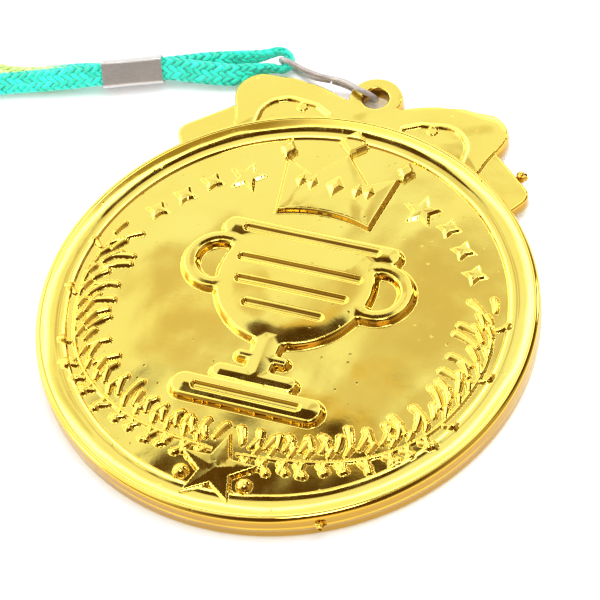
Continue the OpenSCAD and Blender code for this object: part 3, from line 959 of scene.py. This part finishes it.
def make_ferrule(steel):
    """Sheet steel folded round the two braids and pressed flat, with its seam on the hidden side."""
    w, t, sheet, seam = 3.9, 3.0, 0.35, 0.12

    def outline(grow, r):
        """Points round from one side of the seam to the other, grown from the inner size."""
        x, y = w / 2 + grow - r, t / 2 + grow - r
        points = [(-seam / 2, -y - r), *((-x * k / 4, -y - r) for k in (1, 2, 3))]
        points += arc((-x, -y), r, 270, 180, 8) + [(-x - r, -y * k / 3) for k in (1, 0, -1)]
        points += arc((-x, y), r, 180, 90, 8) + [(-x * k / 4, y + r) for k in (2, 0, -2)]
        points += arc((x, y), r, 90, 0, 8) + [(x + r, y * k / 3) for k in (1, 0, -1)]
        points += arc((x, -y), r, 0, -90, 8) + [(x * k / 4, -y - r) for k in (3, 2, 1)]
        return np.array([*points, (seam / 2, -y - r)])

    place = np.array(
        Matrix.Translation(FERRULE_AT) @ Matrix.Rotation(FERRULE_ANGLE, 4, "Z")
        @ Matrix.Rotation(FERRULE_ROLL, 4, "X")
    )
    outer, inner = outline(sheet, 0.75), outline(0, 0.4)
    rows = []
    for k in (-1, -0.985, -0.96, -0.9, -0.6, -0.3, 0, 0.3, 0.6, 0.9, 0.96, 0.985, 1):
        end = abs(k) ** 14
        ease = 0.09 * max(0.0, (abs(k) - 0.95) / 0.05)  # rounds the cut edge over
        dent = 1 - 0.018 * (1 - k * k) + 0.012 * end
        x = k * (FERRULE_LEN / 2) + 0.05 * k * end
        loop = np.concatenate([outer * dent * (1 - ease / 3), (inner * (1 + ease / 4))[::-1]])
        bow = 0.05 * np.cos(loop[:, 0] / w * math.pi) * end * np.sign(k)
        rows.append(np.column_stack([x - bow, loop]) @ place[:3, :3].T + place[:3, 3])
    build = Build()
    build.grid(rows)
    n, last = len(rows[0]), (len(rows) - 1) * len(rows[0])
    for k in range(len(outer) - 1):
        build.faces.append((k + 1, k, n - 1 - k, n - 2 - k))
        build.faces.append((last + k, last + k + 1, last + n - 2 - k, last + n - 1 - k))
    piece = build.object("ferrule_steel", steel, sharp=60)
    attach(piece, "strap")
    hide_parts("strap_ferrule")
    return piece


def make_tie(paper):
    """A paper-covered band round the coil, its ends lapped on top."""
    low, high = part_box("strap_tie")
    middle, size = (low + high) / 2 / MM, (high - low) / MM
    r, sheet = 1.2, 0.3

    def outline(inset, k):
        x, z = size.x / 2 - inset - r, size.z / 2 - inset - r
        points = arc((x, z), r, 0, 90, 7)
        points += [(x * q, z + r + 0.06 * math.sin(9 * q + 2 * k)) for q in (0.5, 0.0, -0.5)]
        points += arc((-x, z), r, 90, 180, 7) + arc((-x, -z), r, 180, 270, 7)
        points += [(-x * q, -z - r) for q in (0.5, 0.0, -0.5)] + arc((x, -z), r, 270, 360, 7)
        return np.array(points)

    rows = []
    for k in np.linspace(-1, 1, 9):
        ring = np.concatenate([outline(0, k) * (1 - 0.012 * (abs(k) == 1)), outline(sheet, k)[::-1]])
        y = np.full(len(ring), k * size.y / 2)
        rows.append(np.column_stack([ring[:, 0], y, ring[:, 1]]) + np.array(middle))
    n, half, last = len(rows[0]), len(rows[0]) // 2, (len(rows) - 1) * len(rows[0])
    faces = []
    for a in range(0, last, n):
        for k in range(half):
            j, b = (k + 1) % half, a + n
            faces.append((a + k, a + j, b + j, b + k))
            faces.append((b + n - 1 - k, b + n - 1 - j, a + n - 1 - j, a + n - 1 - k))
    for k in range(half):
        j = (k + 1) % half
        faces.append((j, k, n - 1 - k, n - 1 - j))
        faces.append((last + k, last + j, last + n - 1 - j, last + n - 1 - k))
    build = Build()
    build.add(np.concatenate(rows), faces)
    lap = np.array([[-2.6, -0.46], [2.6, -0.46], [2.6, 0.46], [-2.6, 0.46]]) * [1, size.y]
    top = np.array(middle) + [0, 0, size.z / 2]
    build.grid([np.column_stack([lap, np.full(4, z)]) + top for z in (0.04, 0.3)], capped=True)
    piece = build.object("tie_band", paper, sharp=45)
    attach(piece, "strap")
    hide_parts("strap_tie")
    return piece


# --- Materials ---

class Nodes:
    """A short way to write a node tree."""

    def __init__(self, tree):
        self.tree = tree
        self.place = self.node("ShaderNodeTexCoord").outputs

    def node(self, kind, **settings):
        made = self.tree.nodes.new(kind)
        for key, value in settings.items():
            setattr(made, key, value)
        return made

    def put(self, socket, value):
        if isinstance(value, bpy.types.NodeSocket):
            self.tree.links.new(value, socket)
        else:
            socket.default_value = value

    def fill(self, node, **values):
        """Fills a node's inputs by name."""
        for key, value in values.items():
            self.put(node.inputs[key.replace("_", " ")], value)
        return node.outputs[0]

    def noise(self, scale, detail=3.0, rough=0.5, vector=None, warp=0.0):
        return self.fill(
            self.node("ShaderNodeTexNoise"), Vector=vector or self.place["Object"], Scale=scale,
            Detail=detail, Roughness=rough, Distortion=warp,
        )

    def fade(self, value, low, high):
        """0 at low, 1 at high and eased between."""
        made = self.node("ShaderNodeMapRange", interpolation_type="SMOOTHSTEP")
        return self.fill(made, Value=value, From_Min=low, From_Max=high)

    def ramp(self, value, *stops):
        made = self.node("ShaderNodeValToRGB")
        for element, (at, colour) in zip(made.color_ramp.elements, stops):
            element.position = at
            element.color = (*colour, 1) if isinstance(colour, tuple) else (colour, colour, colour, 1)
        return self.fill(made, Fac=value)

    def math(self, operation, *terms):
        made = self.node("ShaderNodeMath", operation=operation)
        for socket, value in zip(made.inputs, terms):
            self.put(socket, value)
        return made.outputs[0]

    def mix(self, share, a, b):
        made = self.node("ShaderNodeMix", data_type="RGBA")
        for socket, value in zip((made.inputs[0], made.inputs[6], made.inputs[7]), (share, a, b)):
            self.put(socket, (*value, 1) if isinstance(value, tuple) else value)
        return made.outputs[2]


class Look(Nodes):
    """A material's nodes and its shader."""

    def __init__(self, name):
        self.material = bpy.data.materials.new(name)
        self.material.use_nodes = True
        super().__init__(self.material.node_tree)
        self.shader = self.tree.nodes["Principled BSDF"]

    def set(self, **values):
        self.fill(self.shader, **values)

    def bump(self, *layers):
        """Layers of (height, strength, distance in metres), each laid on the one before."""
        normal = None
        for height, strength, distance in layers:
            made = self.node("ShaderNodeBump")
            if normal:
                self.put(made.inputs["Normal"], normal)
            normal = self.fill(made, Height=height, Strength=strength, Distance=distance)
        self.set(Normal=normal)


def gold_material():
    """Vacuum plating under yellow lacquer: a mirror with soft waves, dust pits and dark specks, and painted
    shade on its steep walls.
    """
    m = Look("gold_plate")
    dust = m.fill(m.node("ShaderNodeTexVoronoi", feature="F1"), Vector=m.place["Object"], Scale=420)
    rare = m.ramp(m.noise(160, 2), (0.58, 0.0), (0.66, 1.0))
    speck = m.math("MULTIPLY", m.ramp(dust, (0.0, 1.0), (0.075, 0.0)), rare)
    warm = m.ramp(m.noise(45), (0.35, (1.0, 0.73, 0.125)), (0.7, (1.0, 0.78, 0.16)))
    facing = m.node("ShaderNodeSeparateXYZ")
    m.fill(facing, Vector=m.place["Normal"])
    # Painted shade: the less a surface faces up or down, the darker its gold is made.
    painted_wall_shade = m.ramp(m.math("ABSOLUTE", facing.outputs["Z"]), (0.15, 1.0), (0.8, 0.0))
    gold_and_wall_shade = m.mix(painted_wall_shade, warm, (0.52, 0.285, 0.02))  # painted shade: steep walls turn a darker orange gold, standing in for the shaded floor they mirror
    smear = m.ramp(m.noise(240, 4), (0.4, 0.045), (0.75, 0.11))
    m.set(
        Base_Color=m.mix(speck, gold_and_wall_shade, (0.10, 0.035, 0.004)), Metallic=1.0,
        Roughness=m.math("ADD", smear, m.math("MULTIPLY", speck, 0.3)),
        Coat_Weight=0.2, Coat_Roughness=0.05, Coat_IOR=1.45,
    )
    pits = m.ramp(dust, (0.0, 0.0), (0.12, 1.0))
    m.bump((m.noise(120, 2), 0.05, 0.0004), (m.noise(900), 0.02, 0.0001), (pits, 0.25, 0.00004))
    return m.material


def nickel_material():
    """Dull nickel plating on drawn wire, with fine draw lines."""
    m = Look("nickel_wire")
    m.set(
        Base_Color=m.ramp(m.noise(700, 4), (0.3, (0.40, 0.365, 0.35)), (0.75, (0.51, 0.465, 0.44))),
        Metallic=0.5, Roughness=m.ramp(m.noise(1500), (0.35, 0.26), (0.7, 0.4)),
    )
    m.bump((m.noise(2200), 0.12, 0.00003))
    return m.material


def steel_material():
    """Satin rolled sheet with a faint grain."""
    m = Look("satin_steel")
    along = m.fill(m.node("ShaderNodeMapping"), Vector=m.place["Object"], Scale=(1, 6, 6))
    grain = m.noise(900, 4, vector=along)
    m.set(
        Base_Color=m.ramp(grain, (0.3, (0.56, 0.55, 0.55)), (0.7, (0.68, 0.665, 0.665))),
        Metallic=0.8, Roughness=m.ramp(grain, (0.3, 0.36), (0.7, 0.48)),
    )
    m.bump((grain, 0.08, 0.00004), (m.noise(350, 2), 0.1, 0.00005))
    return m.material


MINT = (0.3, (0.0, 0.52, 0.35)), (0.72, (0.015, 0.93, 0.68))
LIME = (0.3, (0.50, 0.80, 0.14)), (0.72, (0.78, 0.97, 0.34))


def braid_material(name, dyed):
    """Glossy polyester yarn: fine filaments along each strand, and each strand a little lighter or darker
    than the next.
    dyed says where along the braid, in millimetres, the dye turns from mint to lime and back."""
    m = Look(name)
    thread = m.node("ShaderNodeAttribute", attribute_name="thread").outputs["Vector"]
    split = m.node("ShaderNodeSeparateXYZ")
    m.fill(split, Vector=thread)
    along, _, which = split.outputs
    stretch = m.node("ShaderNodeVectorMath", operation="MULTIPLY")
    m.put(stretch.inputs[0], thread)
    m.put(stretch.inputs[1], (0.45, 9, 1.7))
    fibres = m.noise(1.6, 3, 0.6, vector=stretch.outputs[0])
    tone = m.math("ADD", m.math("MULTIPLY", fibres, 0.75), m.math("MULTIPLY", m.math("FRACT", which), 0.3))
    colour = m.ramp(tone, *MINT)
    if dyed:
        start, full, fades, end = dyed
        share = m.math("MULTIPLY", m.fade(along, start, full), m.fade(along, end, fades))
        colour = m.mix(share, colour, m.ramp(tone, *LIME))
    m.set(
        Base_Color=colour, Roughness=m.ramp(fibres, (0.3, 0.34), (0.7, 0.5)),
        Sheen_Weight=0.35, Sheen_Roughness=0.4, Subsurface_Weight=0.15, Subsurface_Scale=0.0006,
        Specular_IOR_Level=0.6,
    )
    m.bump((fibres, 0.5, 0.00012), (m.noise(5000, 2), 0.1, 0.00004))
    return m.material


def paper_material():
    """White paper, creased."""
    m = Look("tie_paper")
    crease = m.noise(260, 5, 0.65, warp=0.4)
    m.set(
        Base_Color=m.ramp(crease, (0.3, (0.62, 0.61, 0.58)), (0.7, (0.74, 0.735, 0.71))),
        Roughness=m.ramp(crease, (0.3, 0.62), (0.7, 0.8)),
    )
    m.bump((crease, 0.35, 0.00015), (m.noise(4000, 2), 0.15, 0.00003))
    return m.material


def floor_material():
    m = Look("floor")
    pale = m.ramp(m.noise(6, 2), (0.3, (0.93, 0.93, 0.93)), (0.7, (0.95, 0.95, 0.95)))
    m.set(Base_Color=pale, Roughness=0.7, Specular_IOR_Level=0.2)
    return m.material


# --- Studio ---

def make_floor():
    build = Build()
    far = 3000
    build.add([[-far, -far, 0], [far, -far, 0], [far, far, 0], [-far, far, 0]], [(0, 1, 2, 3)])
    floor = build.object("floor", floor_material(), smooth=False)
    floor.location.z = -0.02 * MM


def make_fill_light():
    """A weak area light over the far side of the disc, which the plating doesn't mirror."""
    data = bpy.data.lights.new("fill", "AREA")
    data.shape = "RECTANGLE"
    data.size = data.size_y = 0.7
    data.energy = 4
    back = towards(60, 70)
    place_facing("fill", data, back * 0.9, back).visible_glossy = False


# What the plating mirrors: azimuth, elevation, the angles where a patch is full and where it ends,
# and its colour. Later patches lie over earlier ones.
ROOM = (0.52, 0.38, 0.20)
PATCHES = (
    (150, 34, 50, 76, (1.22, 1.2, 1.12)),  # pale wall beyond the medal and to its left
    (-63, 46, 28, 52, (0.10, 0.045, 0.012)),  # dark camera side
    (54, 38, 16, 27, (0.10, 0.045, 0.012)),  # brown furniture to the right
    (163, 26, 12, 17, (3.4, 3.4, 3.2)),  # softbox on the left
    (-63, 6, 6, 20, (1.2, 0.8, 0.34)),  # table edge in the lamplight
    (-63, 80, 7, 9, (9.0, 8.8, 8.4)),  # lamp overhead
    (95, 75, 6, 13, (0.36, 0.27, 0.10)),  # ceiling
    (117, 52, 15.0, 18.5, (4.2, 4.2, 4.0)),  # bright frame of the window that the flat face mirrors
    (117, 52, 11.5, 15.0, (0.98, 1.09, 1.18)),  # the window itself
    (111.5, 53, 1, 3.4, (0.70, 0.65, 0.56)),  # soft shade in the window
    (121.5, 52, 0.8, 2.4, (0.74, 0.68, 0.58)),
    (107, 47.2, 0.4, 2.8, (0.80, 0.82, 0.72)),
    (116.5, 56.2, 0.8, 2.6, (0.74, 0.58, 0.28)),
    (119, 61.8, 5.4, 6.6, (0.07, 0.035, 0.01)),  # dark blind at its top
    (123, 57.2, 2.0, 3.2, (0.10, 0.05, 0.012)),
    (58, 26, 4, 6, (9.0, 9.0, 8.6)),  # lamps
    (205, 16, 6, 10, (5.0, 5.0, 4.8)),
)


def make_world():
    """A white room; what the plating mirrors instead is soft patches of light and dark."""
    world = bpy.data.worlds.new("studio")
    world.use_nodes = True
    bpy.context.scene.world = world
    world.node_tree.nodes.clear()
    n = Nodes(world.node_tree)
    colour = ROOM
    for azimuth, elevation, inner, outer, shade in PATCHES:
        dot = n.node("ShaderNodeVectorMath", operation="DOT_PRODUCT")
        n.put(dot.inputs[0], n.place["Generated"])
        n.put(dot.inputs[1], towards(azimuth, elevation))
        low, high = (math.cos(math.radians(x)) for x in (outer, inner))
        colour = n.mix(n.fade(dot.outputs["Value"], low, high), colour, shade)
    room = n.fill(n.node("ShaderNodeBackground"), Color=colour)
    white = n.fill(n.node("ShaderNodeBackground"), Color=(1.42, 1.42, 1.42, 1))
    choose = n.node("ShaderNodeMixShader")
    rays = n.node("ShaderNodeLightPath").outputs
    for socket, value in zip(choose.inputs, (rays["Is Glossy Ray"], white, room)):
        n.put(socket, value)
    n.put(n.node("ShaderNodeOutputWorld").inputs["Surface"], choose.outputs[0])


def make_studio():
    make_floor()
    make_world()
    make_fill_light()
    view = bpy.context.scene.view_settings
    view.view_transform = "Standard"
    view.look = "None"


# --- Build ---

make_camera()
on_strap = [make_tie(paper_material()), make_ferrule(steel_material())]
make_strap(braid_material("neck_braid", NECK_DYE), braid_material("hook_braid", None))
gold = gold_material()
make_front_shell(gold)
make_back_shell(gold)
make_link(nickel_material())
make_studio()
